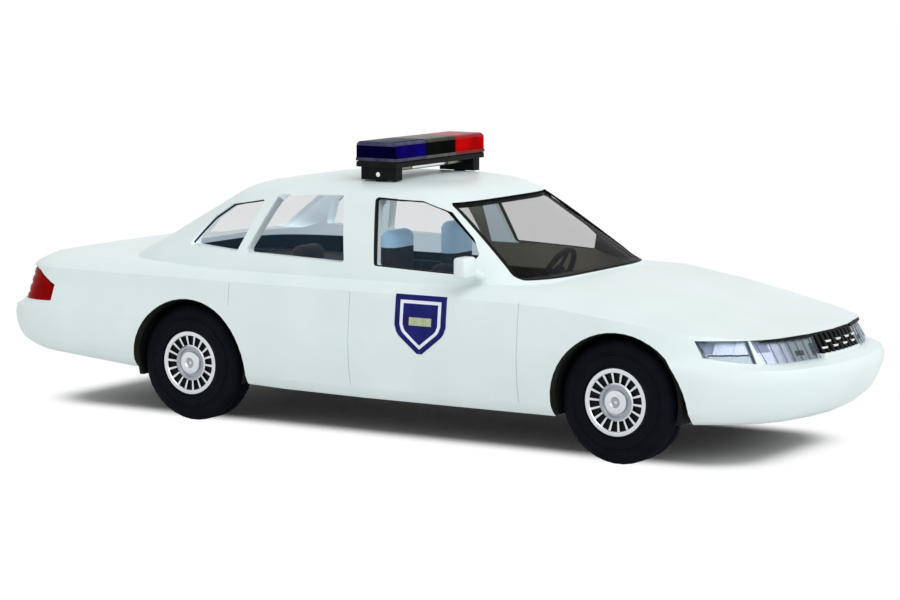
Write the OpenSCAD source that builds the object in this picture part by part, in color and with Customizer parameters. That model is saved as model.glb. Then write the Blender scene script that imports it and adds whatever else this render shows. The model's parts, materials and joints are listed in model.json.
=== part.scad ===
// Scale model of a police patrol car, about 1:87: one moulded shell with a clear glazing insert,
// an interior tub and a chassis plate, rolling on two steel axles with pressed-on wheels.
// X runs to the nose, Y to the car's left and Z up. The origin is on the ground below the middle.

/* [Body] */
// Length over both bumpers
car_length = 62; // [60:0.5:64]
// Width across the body sides
car_width = 22.7; // [22.3:0.1:23.3]
// Height of the roof above the ground
roof_height = 17; // [16.7:0.1:17.5]
// Thickness of the moulded shell
wall = 0.8; // [0.7:0.05:0.85]

/* [Wheels] */
// Distance from the front bumper to the front axle
front_overhang = 12.1; // [11.9:0.1:12.5]
// Distance from the rear bumper to the rear axle
rear_overhang = 16.5; // [16.2:0.1:16.8]
// Radius of a tyre
tyre_radius = 4.05; // [3.95:0.05:4.1]
// Width of a tyre
tyre_width = 2.3; // [2:0.1:2.5]
// Distance from the body side in to the outer face of a wheel
wheel_inset = 0.85; // [0.75:0.05:1.05]
// Radius of a hubcap
hubcap_radius = 2.3; // [2:0.05:2.5]
// Radius of an axle
axle_radius = 0.5; // [0.4:0.05:0.6]
// Free play around an axle in its bore
axle_play = 0.05; // [0.03:0.01:0.08]
// Gap between a tyre and its wheel well
tyre_gap = 0.3; // [0.2:0.05:0.4]

/* [Light bar] */
// Length of the light bar across the roof
bar_length = 11.6; // [10:0.2:13]
// Depth of the light bar along the car
bar_depth = 3.2; // [2.8:0.1:3.6]
// Height of the coloured lenses
lens_height = 1.3; // [1:0.1:1.6]
// Height of the feet between roof and tray
foot_height = 0.8; // [0.6:0.1:1.2]

/* [Fits] */
// Gap left where two moulded pieces meet
fit_gap = 0.05; // [0.03:0.01:0.08]

/* [Hidden] */
$fn = 48;

// Columns of a row: one line round the body, with its height at the nose, at the sides and at the tail
NOSE = 0;
TAIL = 1;
SIDE = 2;
Z_NOSE = 3;
Z_MID = 4;
Z_TAIL = 5;
drawn_body = [
    [29.0, -29.8, 10.50, 2.90, 2.80, 4.40],
    [30.2, -30.6, 11.00, 3.75, 3.50, 4.95],
    [31.0, -31.0, 11.30, 5.60, 5.40, 6.00],
    [30.9, -30.9, 11.35, 6.50, 6.90, 7.20],
    [30.0, -30.2, 11.30, 6.80, 7.60, 7.55],
    [29.4, -29.5, 11.10, 8.10, 9.60, 9.70],
    [29.1, -29.3, 10.85, 8.30, 10.20, 10.30],
    [28.4, -28.6, 9.50, 8.45, 10.80, 10.85]];
// Level slices of the cabin, from inside the body up to the edge of the roof
drawn_cabin = [
    [14.4, -24.5, 10.30, 9.40, 9.40, 9.40],
    [12.0, -21.8, 9.75, 11.20, 11.20, 11.20],
    [10.3, -19.9, 9.35, 12.30, 12.30, 12.30],
    [7.9, -17.1, 8.65, 13.85, 13.85, 13.85],
    [5.6, -14.5, 7.95, 15.30, 15.30, 15.30],
    [4.3, -13.2, 7.50, 16.00, 16.00, 16.00],
    [2.9, -11.6, 6.80, 16.50, 16.50, 16.50],
    [0.9, -9.5, 5.60, 16.80, 16.80, 16.80]];
// Lines along the foot and the head of the front lamp band
drawn_lamps = [
    [30.1, -30.1, 11.27, 6.75, 9.30, 7.65],
    [29.3, -29.5, 11.05, 8.30, 8.30, 9.75]];
// Lines along the foot and the head of the tail lamps
drawn_tail_lamps = [
    [30.1, -30.1, 11.27, 6.75, 7.90, 7.65],
    [29.3, -29.4, 11.00, 8.30, 10.05, 10.00]];
// Lines along the foot and the head of the number plate's recess in the tail
drawn_plate = [
    [30.1, -30.1, 11.27, 6.75, 8.0, 7.85],
    [29.3, -29.5, 11.05, 8.30, 9.4, 9.35]];

// The tables stretch with the driving sizes
drawn_length = max([for (r = drawn_body) r[NOSE]]) - min([for (r = drawn_body) r[TAIL]]);
drawn_width = 2 * max([for (r = drawn_body) r[SIDE]]);
drawn_height = drawn_cabin[len(drawn_cabin) - 1][Z_MID];
roof_crown = 0.2;
kx = car_length / drawn_length;
ky = car_width / drawn_width;
kz = (roof_height - roof_crown) / drawn_height;
function fit(rows) = [for (r = rows) [r[0] * kx, r[1] * kx, r[2] * ky, r[3] * kz, r[4] * kz, r[5] * kz]];
body_rows = fit(drawn_body);
cabin_rows = fit(drawn_cabin);
lamp_band = fit(drawn_lamps);
tail_band = fit(drawn_tail_lamps);
plate_band = fit(drawn_plate);

// Corners of the body seen from above, nose first: length and width of the bend, and bow of the end
body_corners = [[7 * kx, 5 * ky, 3.3], [3 * kx, 2.5 * ky, 0.5]];
// Middle of the cabin and the power of its rounded outline seen from above
cabin_middle = -4 * kx;
cabin_power = 5;
cabin_points = 48;
hood_crown = 0.3;
// Share of the way to the nose at which a line starts to bend, and the power by which the crown fades
hood_start = 0.4;
crown_fade = 6;
// Stations round a quarter of the body: 0 to 1 across the end, to 2 round the corner, to 3 along the side
quarter = [0, 0.5, 1, 1.17, 1.33, 1.5, 1.67, 1.83, 2, 2.25, 2.5, 2.75];
inner_quarter = [0, 0.5, 1, 1.25, 1.5, 1.75, 2, 2.5];
// Stations at which the lamps end, and the share by which the tail lamp's rounded head falls
grille_end = 0.47;
headlamp_end = 1.26;
corner_lamp_end = 1.54;
tail_lamp_start = 0.6;
tail_lamp_end = 2.0;
tail_lamp_fade = 0.5;
fade_share = 0.35;
lamp_step = 0.02;
lamp_depth = 0.5;
lamp_inset = 0.08;
grille_bars = 9;
grille_bar_width = 0.05;
grille_depth = 0.3;
grille_frame = 0.12;
plate_end = 0.3;
plate_depth = 0.25;

// Side windows: corners seen from the side, as X, Z and corner radius
window_rear_door = [[-10.2, 12.05, 0.2], [-2.55, 11.85, 0.2], [-3.75, 15.78, 0.2], [-8.7, 15.56, 0.25]];
window_front_door = [[0.25, 11.78, 0.2], [6.9, 11.54, 0.2], [7.3, 12.58, 0.2], [6.5, 13.25, 0.4],
                     [4.3, 14.65, 0.6], [2.4, 15.47, 0.4], [-0.8, 15.77, 0.2]];
window_quarter = [[-15.2, 12.27, 0.15], [-11.3, 12.1, 0.2], [-10.15, 15.23, 0.2], [-12.7, 14.6, 0.4],
                  [-13.9, 13.72, 0.4]];
// Windscreen and rear window: corners seen along the car, as half width, Z and corner radius
window_front = [[7.9, 11.37, 0.3], [6.1, 15.34, 0.4]];
window_back = [[7.3, 12.12, 0.4], [5.7, 15.25, 0.5]];
pane_inset = 0.15;
glass_thickness = 0.5;
glass_foot_z = 10.2 * kz;

axle_xs = [car_length / 2 - front_overhang, rear_overhang - car_length / 2];
wheelbase = axle_xs[0] - axle_xs[1];
wheel_spread = car_width - 2 * wheel_inset;
axle_z = tyre_radius;
bore_radius = axle_radius + axle_play;
well_radius = tyre_radius + tyre_gap;
well_wall = 0.3;
housing_radius = well_radius + well_wall;
arch_radius = housing_radius + 2 * fit_gap;
// The opening in the body side sits a little ahead of the axle and below it
arch_lead = 0.3;
arch_drop = 0.2;
wheel_inner = wheel_spread / 2 - tyre_width;

floor_z = 2.9 * kz;
floor_thickness = 0.8;
floor_top = floor_z + floor_thickness;
rear_floor_z = 4.75 * kz;
front_floor_z = 3.45 * kz;
// Room between the shell's nose and tail and its hollow inside
nose_depth = 2.4;
tail_depth = 1.8;

bar_x = -2.15 * kx;
foot_length = 2.8;
foot_width = 0.8;
foot_inset = 0.3;
foot_y = bar_length / 2 - foot_width / 2 - foot_inset;
// The crowned roof falls from its middle to the feet
roof_half = cabin_rows[len(cabin_rows) - 1][SIDE];
roof_fall = roof_crown * pow((foot_y - foot_width / 2) / roof_half, 2);
foot_z = roof_height - roof_fall + fit_gap;
tray_height = 0.4;
tray_round = 0.15;
tray_z = roof_height + foot_height;
brace_length = 1.2;
brace_height = 0.35;
lens_z = tray_z + tray_height + fit_gap;
lens_round = 0.35;
lens_ends = [-bar_length / 2, -bar_length / 6, bar_length / 6, bar_length / 2];
pin_radius = 0.4;

tub_half = 8.8 * ky;
tub_wall = 0.6;
tub_floor = floor_top + fit_gap;
tub_back = axle_xs[1] + housing_radius + fit_gap;
firewall_gap = 1.05;
firewall_z = 8 * kz;
tub_front = axle_xs[0] - housing_radius - firewall_gap;
door_card_z = 9.8 * kz;
dash_z = 9.8 * kz;
dash_height = 1.6;
dash_depth = 3.6;
dash_back = 8.6 * kx;
dash_front = dash_back + dash_depth;
card_front = dash_back + dash_depth / 3;
dash_round = 0.5;
hood_half = 2.2;
hood_rise = 0.4;
shelf_z = 10.1 * kz;
shelf_back = -19 * kx;
shelf_half = 8 * ky;
seat_x = -1 * kx;
seat_y = 3.9 * ky;
seat_half = 2.7;
seat_length = 4.6;
seat_back = 2;
seat_round = 0.6;
seat_top = 10.5 * kz;
cushion_z = 6.6 * kz;
headrest_z = 13.45 * kz;
headrest_half = 1.5;
headrest_depth = 1.3;
headrest_root = 0.8;
bench_back = 1.4;
bench_x = tub_back + bench_back;
bench_headrest_z = 12 * kz;

wheel_gap = 2;
wheel_x = dash_back - wheel_gap;
wheel_y = seat_y;
wheel_z = 10.3 * kz;
wheel_r = 1.7;
rim_r = 0.2;
hub_r = 0.45;
column_r = 0.25;
column_gap = 0.3;
wheel_tilt = 62;
column_length = (wheel_gap - hood_rise) / sin(wheel_tilt) - column_gap;

// Middle and size of the door mirror's housing, and the reach of its arm down to the door
mirror_x = 8.15 * kx;
mirror_y = 11.2 * ky;
mirror_z = 12.1 * kz;
mirror_depth = 1;
mirror_width = 1.5;
mirror_height = 1.35;
mirror_round = 0.25;
mirror_frame = 0.15;
glass_recess = 0.12;
arm_r = 0.3;
arm_reach = 1.5;
arm_drop = 0.7;
arm_foot = 0.4;

sump_length = 9;
sump_width = 6;
tank_x = -25 * kx;
tank_length = 4.5;
tank_width = 10;
pan_depth = 0.4;
shaft_r = 0.5;
pipe_r = 0.35;
pipe_y = 4.5 * ky;
pipe_gap = 8;
differential_r = 1.7;

tyre_shoulder = 0.45;
recess_depth = 0.5;
slot_count = 18;
slot_width = 0.2;
slot_floor = 0.1;
// Section of a hubcap from its middle to its edge, as share of the radius and height over the tyre's face
hubcap_dish = [[0, 0.08], [0.15, 0.06], [0.26, -0.02], [0.3, -0.26], [0.5, -0.26], [0.8, -0.08],
               [0.88, 0.03], [0.96, 0.03], [1, -0.05]];
slot_reach = [0.55, 0.8];

// Value of a smooth curve through rows b and c, with a and d as the rows beyond
function blend(a, b, c, d, f) =
    (2 * b + (c - a) * f + (2 * a - 5 * b + 4 * c - d) * f * f + (3 * b - 3 * c + d - a) * f * f * f) / 2;
function smooth_rows(rows, steps) = let (last = len(rows) - 1) [
    for (i = [0:last - 1])
        for (k = [0:steps - 1])
            blend(rows[max(i - 1, 0)], rows[i], rows[i + 1], rows[min(i + 2, last)], k / steps),
    rows[last]];
// Rows moved inward by a depth at the nose, the tail and the sides, and lowered
function shrink(rows, nose, tail, side, drop) =
    [for (r = rows) r + [-nose, tail, -side, -drop, -drop, -drop]];
// The cabin's rows moved inward by about the same depth on its slopes, its sides and its roof
function shrink_cabin(depth) = shrink(cabin_rows, 0.3 * depth, 0.25 * depth, 0.65 * depth, depth);

// How far a line has bent to its height at the nose (end 0) or the tail (end 1), by its share of the way
function bend(share, end) =
    let (t = max(0, share - hood_start) / (1 - hood_start))
    end == 0 ? t * t * (3 - 2 * t) : share * share;
// Point of a body row at a station of a quarter, at the nose (end 0) or the tail (end 1).
// A station below 0 is on the right side.
function body_point(station, row, end) =
    let (corner = body_corners[end],
         reach = end == 0 ? row[NOSE] : -row[TAIL],
         away = abs(station),
         turn = 90 * min(max(away - 1, 0), 1),
         y = min(away, 1) * (row[SIDE] - corner[1]) + corner[1] * sin(turn),
         bowed = reach - corner[2] * pow(y / row[SIDE], 2) - corner[0] * (1 - cos(turn)),
         x = bowed * min(1, 3 - away),
         z_end = end == 0 ? row[Z_NOSE] : row[Z_TAIL])
    [end == 0 ? x : -x,
     station < 0 ? -y : y,
     row[Z_MID] + (z_end - row[Z_MID]) * bend(x / reach, end)];
// Ring of points round the body, from the nose by the left side
function body_ring(row, stations = quarter) =
    let (last = len(stations) - 1,
         left = [for (q = stations) body_point(q, row, 0),
                 body_point(3, row, 0),
                 for (i = [0:last]) body_point(stations[last - i], row, 1)])
    [each left, for (i = [len(left) - 2:-1:1]) [left[i].x, -left[i].y, left[i].z]];
// Ring of points round the cabin
function cabin_ring(row) = [for (i = [0:cabin_points - 1])
    let (angle = 360 * i / cabin_points,
         ahead = cos(angle) >= 0,
         reach = ahead ? row[NOSE] - cabin_middle : cabin_middle - row[TAIL])
    [cabin_middle + (ahead ? 1 : -1) * reach * pow(abs(cos(angle)), 2 / cabin_power),
     row[SIDE] * sign(sin(angle)) * pow(abs(sin(angle)), 2 / cabin_power),
     row[Z_MID]]];

// Closed solid through a stack of rings, with a crowned top that spans from side to side in strips
module loft(rings, crown, strips) {
    n = len(rings[0]);
    half = n / 2;
    top = n * (len(rings) - 1);
    top_ring = rings[len(rings) - 1];
    cap_start = n * len(rings);
    middle = (top_ring[0].x + top_ring[half].x) / 2;
    reach = top_ring[0].x - middle;
    cap = [for (i = [1:half - 1])
        for (k = [1:strips - 1])
            let (f = k / strips,
                 fade = 1 - pow(abs(top_ring[i].x - middle) / reach, crown_fade))
            top_ring[i] * (1 - f) + top_ring[n - i] * f + [0, 0, crown * 4 * f * (1 - f) * fade]];
    function cap_index(i, k) =
        i == 0 || k == 0 ? top + i
        : i == half ? top + half
        : k == strips ? top + n - i
        : cap_start + (i - 1) * (strips - 1) + k - 1;
    sides = [for (l = [0:len(rings) - 2])
        for (i = [0:n - 1])
            let (a = l * n + i, b = l * n + (i + 1) % n)
            each [[a + n, b + n, b], [a + n, b, a]]];
    top_faces = [for (i = [0:half - 1])
        for (k = [0:strips - 1])
            let (a = cap_index(i, k), b = cap_index(i, k + 1),
                 c = cap_index(i + 1, k + 1), d = cap_index(i + 1, k))
            each [if (i > 0) [a, b, c], if (i < half - 1) [a, c, d]]];
    bottom_faces = [for (i = [0:half - 1])
        each [if (i < half - 1) [i + 1, n - i - 1, i], if (i > 0) [n - i - 1, n - i, i]]];
    polyhedron([for (g = rings) each g, each cap], [each sides, each top_faces, each bottom_faces]);
}

// Solid panel that follows the body between two rows, from one station to another.
// It stands proud by grow and reaches in by depth, and its head falls at its last end by fade.
module panel(rows, end, from, to, steps, grow, depth, fade = 0) {
    outer = shrink(rows, -grow, -grow, -grow, 0);
    inner = shrink(rows, depth, depth, depth, 0);
    sections = [for (j = [0:steps])
        let (u = j / steps,
             station = from + (to - from) * u,
             low = fade * pow(1 - min(1, (1 - u) / fade_share), 2))
        [body_point(station, outer[0], end),
         body_point(station, outer[1] * (1 - low) + outer[0] * low, end),
         body_point(station, inner[1] * (1 - low) + inner[0] * low, end),
         body_point(station, inner[0], end)]];
    last = 4 * steps;
    faces = [
        for (j = [0:steps - 1])
            for (k = [0:3])
                let (a = 4 * j + k, b = 4 * j + (k + 1) % 4)
                each [[a, b, b + 4], [a, b + 4, a + 4]],
        [0, 3, 2], [0, 2, 1],
        [last, last + 1, last + 2], [last, last + 2, last + 3]];
    polyhedron([for (s = sections) each s], [for (f = faces) end == 0 ? f : [f[2], f[1], f[0]]]);
}

// Rounded outline through corner discs
module disc_outline(corners) {
    hull()
        for (c = corners)
            translate([c.x, c.y])
                circle(r = c.z, $fn = 12);
}

// Prisms through all the window openings, made smaller by a gap all round
module window_prisms(gap) {
    for (side = [-1, 1])
        for (outline = [window_front_door, window_rear_door, window_quarter])
            scale([1, side, 1])
                translate([0, car_width / 2, 0])
                    rotate([90, 0, 0])
                        linear_extrude(car_width / 4)
                            disc_outline([for (c = outline) [c.x * kx, c.y * kz, c.z - gap]]);
    for (end = [[window_front, 0], [window_back, car_length / 2]])
        translate([-end[1], 0, 0])
            rotate([90, 0, 90])
                linear_extrude(car_length / 2)
                    disc_outline([for (c = end[0])
                        for (side = [-1, 1])
                            [side * c.x * ky, c.y * kz, c.z - gap]]);
}

module lower_body() {
    loft([for (r = smooth_rows(body_rows, 2)) body_ring(r)], hood_crown, 4);
}

// The hollow inside the lower body, open at the bottom
module lower_hollow() {
    inside = shrink(body_rows, nose_depth, tail_depth, wall, wall);
    foot = inside[0] - [0, 0, 0, floor_z, floor_z, floor_z];
    loft([for (r = [foot, each inside]) body_ring(r, inner_quarter)], hood_crown, 2);
}

// The cabin's outer form moved inward by a depth, plainer where it is hidden
module cabin(depth, steps = 1) {
    loft([for (r = smooth_rows(shrink_cabin(depth), steps)) cabin_ring(r)], roof_crown, 2 * steps + 2);
}

// A lamp on each side, from one station to another at the nose (end 0) or the tail (end 1)
module lamp_pair(band, end, from, to, grow, depth, fade = 0) {
    for (side = [0, 1])
        mirror([0, side, 0])
            panel(band, end, from, to, 10, grow, depth, fade);
}

module body_shell() {
    color("white")
        difference() {
            union() {
                lower_body();
                cabin(0, 2);
            }
            lower_hollow();
            cabin(wall);
            window_prisms(0);
            for (x = axle_xs)
                translate([x + arch_lead, 0, axle_z - arch_drop])
                    rotate([90, 0, 0])
                        cylinder(r = arch_radius, h = 2 * car_width, center = true, $fn = 48);
            panel(lamp_band, 0, -corner_lamp_end - lamp_step, corner_lamp_end + lamp_step, 32, wall,
                  lamp_depth + fit_gap);
            lamp_pair(tail_band, 1, tail_lamp_start - lamp_step, tail_lamp_end + lamp_step, wall,
                      lamp_depth + fit_gap, tail_lamp_fade);
            panel(plate_band, 1, -plate_end, plate_end, 2, wall, plate_depth);
            for (side = [-1, 1])
                translate([bar_x, side * foot_y, roof_height - 2 * wall])
                    cylinder(r = pin_radius + fit_gap, h = 3 * wall, $fn = 24);
        }
}

module window_insert() {
    color([0.75, 0.8, 0.85, 0.5])
        difference() {
            union() {
                difference() {
                    cabin(wall + fit_gap);
                    cube([car_length, car_width, 2 * glass_foot_z], center = true);
                }
                intersection() {
                    cabin(pane_inset);
                    window_prisms(fit_gap);
                }
            }
            cabin(wall + fit_gap + glass_thickness);
            cube([car_length, car_width, 2 * glass_foot_z], center = true);
            for (side = [-1, 1])
                translate([bar_x, side * foot_y, roof_height - 4 * wall])
                    cylinder(r = pin_radius + fit_gap, h = 5 * wall, $fn = 24);
        }
}

// Rounded block between two corners
module soft_block(low, high, r) {
    hull()
        for (x = [low.x + r, high.x - r], y = [low.y + r, high.y - r], z = [low.z + r, high.z - r])
            translate([x, y, z])
                sphere(r = r, $fn = 12);
}

module interior_tub() {
    color([0.16, 0.15, 0.13])
        union() {
            translate([tub_back, -tub_half, tub_floor])
                cube([tub_front - tub_back, 2 * tub_half, tub_wall]);
            for (side = [-1, 1])
                translate([tub_back, side * (tub_half - tub_wall / 2) - tub_wall / 2, tub_floor])
                    cube([card_front - tub_back, tub_wall, door_card_z - tub_floor]);
            translate([tub_front - tub_wall, -tub_half, tub_floor])
                cube([tub_wall, 2 * tub_half, firewall_z - tub_floor]);
            translate([tub_back, -tub_half, tub_floor])
                cube([tub_wall, 2 * tub_half, shelf_z - tub_floor]);
            translate([shelf_back, -shelf_half, shelf_z - tub_wall])
                cube([tub_back - shelf_back + tub_wall, 2 * shelf_half, tub_wall]);
            soft_block([dash_back, -tub_half, dash_z - dash_height], [dash_front, tub_half, dash_z],
                       dash_round);
            soft_block([dash_back - hood_rise, wheel_y - hood_half, dash_z - dash_height],
                       [dash_front - tub_wall, wheel_y + hood_half, dash_z + hood_rise], dash_round);
            for (side = [-1, 1])
                translate([0, side * seat_y, 0]) {
                    soft_block([seat_x, -seat_half, tub_floor], [seat_x + seat_length, seat_half, cushion_z],
                               seat_round);
                    soft_block([seat_x + seat_round - seat_back, -seat_half, tub_floor],
                               [seat_x + seat_round, seat_half, seat_top], seat_round);
                    soft_block([seat_x - headrest_depth, -headrest_half, seat_top - headrest_root],
                               [seat_x, headrest_half, headrest_z], seat_round);
                    soft_block([bench_x - headrest_depth, -headrest_half, seat_top - headrest_root],
                               [bench_x, headrest_half, bench_headrest_z], seat_round);
                }
            soft_block([bench_x, tub_wall - tub_half, tub_floor],
                       [bench_x + seat_length, tub_half - tub_wall, cushion_z], seat_round);
            soft_block([tub_back, tub_wall - tub_half, tub_floor],
                       [bench_x + seat_round, tub_half - tub_wall, seat_top], seat_round);
        }
}

module steering_wheel() {
    color([0.1, 0.1, 0.1])
        translate([wheel_x, wheel_y, wheel_z])
            rotate([0, -wheel_tilt, 0]) {
                rotate_extrude()
                    translate([wheel_r, 0])
                        circle(r = rim_r, $fn = 16);
                translate([0, 0, -rim_r])
                    cylinder(r = hub_r, h = 2 * rim_r);
                for (a = [0, 120, 240])
                    rotate([0, 0, a])
                        translate([0, -rim_r / 2, -rim_r / 2])
                            cube([wheel_r, rim_r, rim_r]);
                translate([0, 0, -column_length])
                    cylinder(r = column_r, h = column_length);
            }
}

// Floor that fits inside the shell between two places along the car
module floor_slab(from, to, z, thickness) {
    edge = shrink([body_rows[0]], nose_depth, tail_depth, wall + 2 * fit_gap, 0)[0];
    intersection() {
        translate([0, 0, z])
            linear_extrude(thickness)
                polygon([for (p = body_ring(edge)) [p.x, p.y]]);
        translate([from, -car_width / 2, 0])
            cube([to - from, car_width, roof_height]);
    }
}

// Cylinder along Y, with its middle at an axle
module across(x, r, length, y = 0) {
    translate([x, y, axle_z])
        rotate([90, 0, 0])
            cylinder(r = r, h = length, center = true);
}

module chassis_plate() {
    well_half = wheel_spread / 2 - recess_depth;
    pocket = car_width / 2 - wheel_inner + tyre_gap;
    color([0.05, 0.05, 0.05])
        difference() {
            union() {
                floor_slab(axle_xs[1], axle_xs[0], floor_z, floor_top - floor_z);
                floor_slab(axle_xs[0], car_length / 2, front_floor_z, floor_top - floor_z);
                floor_slab(-car_length / 2, axle_xs[1], rear_floor_z, floor_top - floor_z);
                for (x = axle_xs)
                    intersection() {
                        across(x, housing_radius, 2 * well_half);
                        translate([x - housing_radius, -well_half, floor_z])
                            cube([2 * housing_radius, 2 * well_half, 2 * housing_radius]);
                    }
                translate([axle_xs[0] - sump_length, -sump_width / 2, floor_z - pan_depth])
                    cube([sump_length, sump_width, floor_thickness]);
                translate([tank_x, -tank_width / 2, rear_floor_z - pan_depth])
                    cube([tank_length, tank_width, floor_thickness]);
                translate([axle_xs[1], 0, floor_z])
                    rotate([0, 90, 0])
                        cylinder(r = shaft_r, h = wheelbase);
                translate([axle_xs[1], -pipe_y, floor_z])
                    rotate([0, 90, 0])
                        cylinder(r = pipe_r, h = wheelbase - pipe_gap);
                translate([axle_xs[1], 0, axle_z])
                    sphere(r = differential_r);
            }
            for (x = axle_xs) {
                across(x, bore_radius, car_width);
                for (side = [-1, 1])
                    across(x, well_radius, pocket, side * (car_width / 2 - pocket / 2));
            }
        }
}

module door_mirror() {
    color("white")
        difference() {
            scale([1, -1, 1])
                translate([mirror_x, mirror_y, mirror_z])
                    mirror_form();
            cabin(-fit_gap);
            lower_body();
        }
}

// Housing with its glass recess, carried by an arm on a foot at the corner of the door window
module mirror_form() {
    half = [mirror_depth, mirror_width, mirror_height] / 2;
    difference() {
        union() {
            soft_block(-half, half, mirror_round);
            hull() {
                sphere(r = arm_r, $fn = 12);
                for (x = [0, arm_foot])
                    translate([x, -arm_reach, -arm_drop])
                        sphere(r = arm_r, $fn = 12);
            }
        }
        translate([-half.x - glass_recess, mirror_frame - half.y, mirror_frame - half.z])
            cube([2 * glass_recess, mirror_width - 2 * mirror_frame, mirror_height - 2 * mirror_frame]);
    }
}

// Dark back plate with upright bars that stand out to the lamps' own line
module grille_insert() {
    pitch = 2 * grille_end / grille_bars;
    bar_rows = [shrink([lamp_band[0]], 0, 0, 0, -grille_frame)[0],
                shrink([lamp_band[1]], 0, 0, 0, grille_frame)[0]];
    bar_depth_in = (grille_depth + lamp_depth) / 2;
    color([0.1, 0.1, 0.1])
        union() {
            panel(lamp_band, 0, -grille_end, grille_end, 8, -grille_depth, lamp_depth);
            for (k = [0:grille_bars - 1])
                let (start = (k + 0.5) * pitch - grille_end - grille_bar_width / 2)
                panel(bar_rows, 0, start, start + grille_bar_width, 1, -lamp_inset, bar_depth_in);
        }
}

module headlamp_lenses() {
    color([0.85, 0.88, 0.9])
        lamp_pair(lamp_band, 0, grille_end + lamp_step, headlamp_end, -lamp_inset, lamp_depth);
}

module corner_lenses() {
    color([0.7, 0.72, 0.74])
        lamp_pair(lamp_band, 0, headlamp_end + lamp_step, corner_lamp_end, -lamp_inset, lamp_depth);
}

module tail_lamps() {
    color([0.5, 0.02, 0.02])
        lamp_pair(tail_band, 1, tail_lamp_start, tail_lamp_end, -lamp_inset, lamp_depth, tail_lamp_fade);
}

// Block with rounded upper edges that runs across the car
module bar_block(from, to, depth, height, z, r) {
    translate([bar_x, to, z])
        rotate([90, 0, 0])
            linear_extrude(to - from)
                hull() {
                    for (x = [r - depth / 2, depth / 2 - r])
                        translate([x, height - r])
                            circle(r = r, $fn = 24);
                    translate([-depth / 2, 0])
                        square([depth, r]);
                }
}

module light_bar_base() {
    color([0.06, 0.06, 0.06])
        union() {
            bar_block(-bar_length / 2, bar_length / 2, bar_depth, tray_height, tray_z, tray_round);
            translate([bar_x - brace_length / 2, -foot_y, tray_z - brace_height])
                cube([brace_length, 2 * foot_y, brace_height + tray_height / 2]);
            for (side = [-1, 1]) {
                translate([bar_x - foot_length / 2, side * foot_y - foot_width / 2, foot_z])
                    cube([foot_length, foot_width, tray_z + fit_gap - foot_z]);
                translate([bar_x, side * foot_y, roof_height - 1.5 * wall])
                    cylinder(r = pin_radius, h = 2 * wall);
            }
        }
}

module bar_lens(third) {
    bar_block(lens_ends[third] + fit_gap / 2, lens_ends[third + 1] - fit_gap / 2, bar_depth, lens_height,
              lens_z, lens_round);
}

module light_bar_blue_lens() {
    color([0.03, 0.01, 0.34])
        bar_lens(0);
}

module light_bar_centre() {
    color([0.07, 0.07, 0.06])
        bar_lens(1);
}

module light_bar_red_lens() {
    color([0.67, 0.04, 0.02])
        bar_lens(2);
}

// Places a wheel's piece, drawn with its outer face up at Z 0, at one end of an axle
module at_wheel(axle, side) {
    translate([axle_xs[axle], side * wheel_spread / 2, axle_z])
        rotate([-side * 90, 0, 0])
            children();
}

module axle_form(axle) {
    color("silver")
        across(axle_xs[axle], axle_radius, wheel_spread - 2 * recess_depth - 2 * fit_gap);
}

module tyre_form(axle, side) {
    bore = axle_radius + fit_gap / 4;
    round_r = tyre_radius - tyre_shoulder;
    color([0.04, 0.06, 0.06])
        at_wheel(axle, side)
            rotate_extrude($fn = 64)
                polygon([
                    [bore, -tyre_width],
                    for (a = [0:30:90])
                        [round_r + tyre_shoulder * sin(a), tyre_shoulder * (1 - cos(a)) - tyre_width],
                    for (a = [0:30:90])
                        [round_r + tyre_shoulder * cos(a), tyre_shoulder * (sin(a) - 1)],
                    [hubcap_radius + fit_gap, 0],
                    [hubcap_radius + fit_gap, -recess_depth],
                    [bore, -recess_depth]]);
}

module hubcap_form(axle, side) {
    base = fit_gap / 2 - recess_depth;
    color("silver")
        at_wheel(axle, side)
            difference() {
                rotate_extrude($fn = 64)
                    polygon([
                        for (p = hubcap_dish)
                            [p.x * hubcap_radius, p.y],
                        [hubcap_radius, base],
                        [0, base]]);
                for (k = [0:slot_count - 1])
                    rotate([0, 0, 360 * k / slot_count])
                        translate([hubcap_radius * slot_reach[0], -slot_width / 2, base + slot_floor])
                            cube([hubcap_radius * (slot_reach[1] - slot_reach[0]), slot_width, recess_depth]);
            }
}

module front_axle() { axle_form(0); }
module rear_axle() { axle_form(1); }
module front_left_tyre() { tyre_form(0, 1); }
module front_right_tyre() { tyre_form(0, -1); }
module rear_left_tyre() { tyre_form(1, 1); }
module rear_right_tyre() { tyre_form(1, -1); }
module front_left_hubcap() { hubcap_form(0, 1); }
module front_right_hubcap() { hubcap_form(0, -1); }
module rear_left_hubcap() { hubcap_form(1, 1); }
module rear_right_hubcap() { hubcap_form(1, -1); }

body_shell();
window_insert();
interior_tub();
steering_wheel();
chassis_plate();
door_mirror();
grille_insert();
headlamp_lenses();
corner_lenses();
tail_lamps();
light_bar_base();
light_bar_blue_lens();
light_bar_centre();
light_bar_red_lens();
front_axle();
front_left_tyre();
front_right_tyre();
front_left_hubcap();
front_right_hubcap();
rear_axle();
rear_left_tyre();
rear_right_tyre();
rear_left_hubcap();
rear_right_hubcap();
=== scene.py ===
import json
import math

import bpy
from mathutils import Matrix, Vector
from mathutils.bvhtree import BVHTree

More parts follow.
